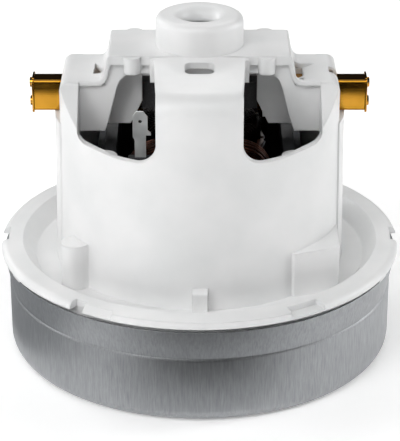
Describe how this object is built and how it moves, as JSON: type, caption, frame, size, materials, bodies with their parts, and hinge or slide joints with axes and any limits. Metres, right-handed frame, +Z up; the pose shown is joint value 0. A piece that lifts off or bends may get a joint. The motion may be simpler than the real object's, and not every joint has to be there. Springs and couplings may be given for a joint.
{
  "type": "vacuum motor unit",
  "caption": "Vacuum cleaner motor with a white moulded housing on a zinc-coated steel fan can, brass brush tubes and a field winding behind open windows.",
  "frame": {"origin": "centre of the fan can's flat bottom, on the shaft's axis", "axes": "+Z up along the shaft towards the hub, X along the two carbon brushes, -Y towards the terminal seen in the picture"},
  "size_m": [0.1378, 0.138, 0.118],
  "materials": {
    "white_plastic": "smooth glass-filled moulding, off-white",
    "zinc_steel": "zinc-coated, drawn, fine upright marks",
    "black_plastic": "matt moulding",
    "cast_aluminium": "as cast",
    "bright_steel": "bright",
    "bearing_steel": "ground",
    "lamination_steel": "stacked sheets, dark",
    "copper_wire": "enamelled copper",
    "bare_copper": "turned copper",
    "tinned_brass": "tinned",
    "brass": "bright, drawn",
    "carbon": "pressed carbon",
    "brown_moulding": "phenolic",
    "sheet_aluminium": "rolled sheet"
  },
  "bodies": {
    "motor_frame": {"motor_housing": "white_plastic", "fan_can": "zinc_steel", "diffuser": "black_plastic", "bearing_bracket": "cast_aluminium", "bracket_screws": "bright_steel", "field_core": "lamination_steel", "field_screws": "bright_steel", "coil_frame_upper": "black_plastic", "coil_frame_lower": "black_plastic", "field_coil_front": "copper_wire", "field_coil_rear": "copper_wire", "terminal_front": "tinned_brass", "terminal_rear": "tinned_brass", "brush_tube_left": "brass", "brush_tube_right": "brass", "brush_cap_left": "brass", "brush_cap_right": "brass", "brush_spring_left": "bright_steel", "brush_spring_right": "bright_steel", "brush_lead_left": "copper_wire", "brush_lead_right": "copper_wire", "upper_bearing_outer": "bearing_steel", "upper_bearing_shields": "bright_steel", "wave_washer": "bright_steel", "lower_bearing_outer": "bearing_steel", "lower_bearing_shields": "bright_steel"},
    "rotor": {"shaft": "bearing_steel", "armature_core": "lamination_steel", "armature_winding": "copper_wire", "insulator_upper": "brown_moulding", "insulator_lower": "brown_moulding", "commutator_bars": "bare_copper", "commutator_moulding": "brown_moulding", "upper_bearing_inner": "bearing_steel", "lower_bearing_inner": "bearing_steel", "bearing_spacer": "bright_steel", "fan_spacer": "bright_steel", "fan_back_plate": "sheet_aluminium", "fan_front_plate": "sheet_aluminium", "fan_vanes": "sheet_aluminium", "fan_washer": "bright_steel", "fan_nut": "bright_steel"},
    "upper_cage": {"upper_bearing_cage": "brass", "upper_bearing_balls": "bearing_steel"},
    "lower_cage": {"lower_bearing_cage": "brass", "lower_bearing_balls": "bearing_steel"},
    "brush_left": {"carbon_brush_left": "carbon"},
    "brush_right": {"carbon_brush_right": "carbon"}
  },
  "joints": [
    {"name": "rotor_spin", "type": "hinge", "parent": "motor_frame", "child": "rotor", "pos_m": [0, 0, 0.057], "axis": [0, 0, 1], "continuous": true},
    {"name": "upper_cage_spin", "type": "hinge", "parent": "motor_frame", "child": "upper_cage", "pos_m": [0, 0, 0.1075], "axis": [0, 0, 1], "continuous": true},
    {"name": "lower_cage_spin", "type": "hinge", "parent": "motor_frame", "child": "lower_cage", "pos_m": [0, 0, 0.026], "axis": [0, 0, 1], "continuous": true},
    {"name": "brush_left_slide", "type": "slide", "parent": "motor_frame", "child": "brush_left", "axis": [-1, 0, 0], "range_m": [0, 0.006], "stiffness_N_per_m": 300, "springref_m": -0.01, "deforming": ["brush_spring_left", "brush_lead_left"]},
    {"name": "brush_right_slide", "type": "slide", "parent": "motor_frame", "child": "brush_right", "axis": [1, 0, 0], "range_m": [0, 0.006], "stiffness_N_per_m": 300, "springref_m": -0.01, "deforming": ["brush_spring_right", "brush_lead_right"]}
  ],
  "couplings": [
    {"joint": "upper_cage_spin", "follows": "rotor_spin", "ratio": 0.3677},
    {"joint": "lower_cage_spin", "follows": "rotor_spin", "ratio": 0.3677}
  ]
}
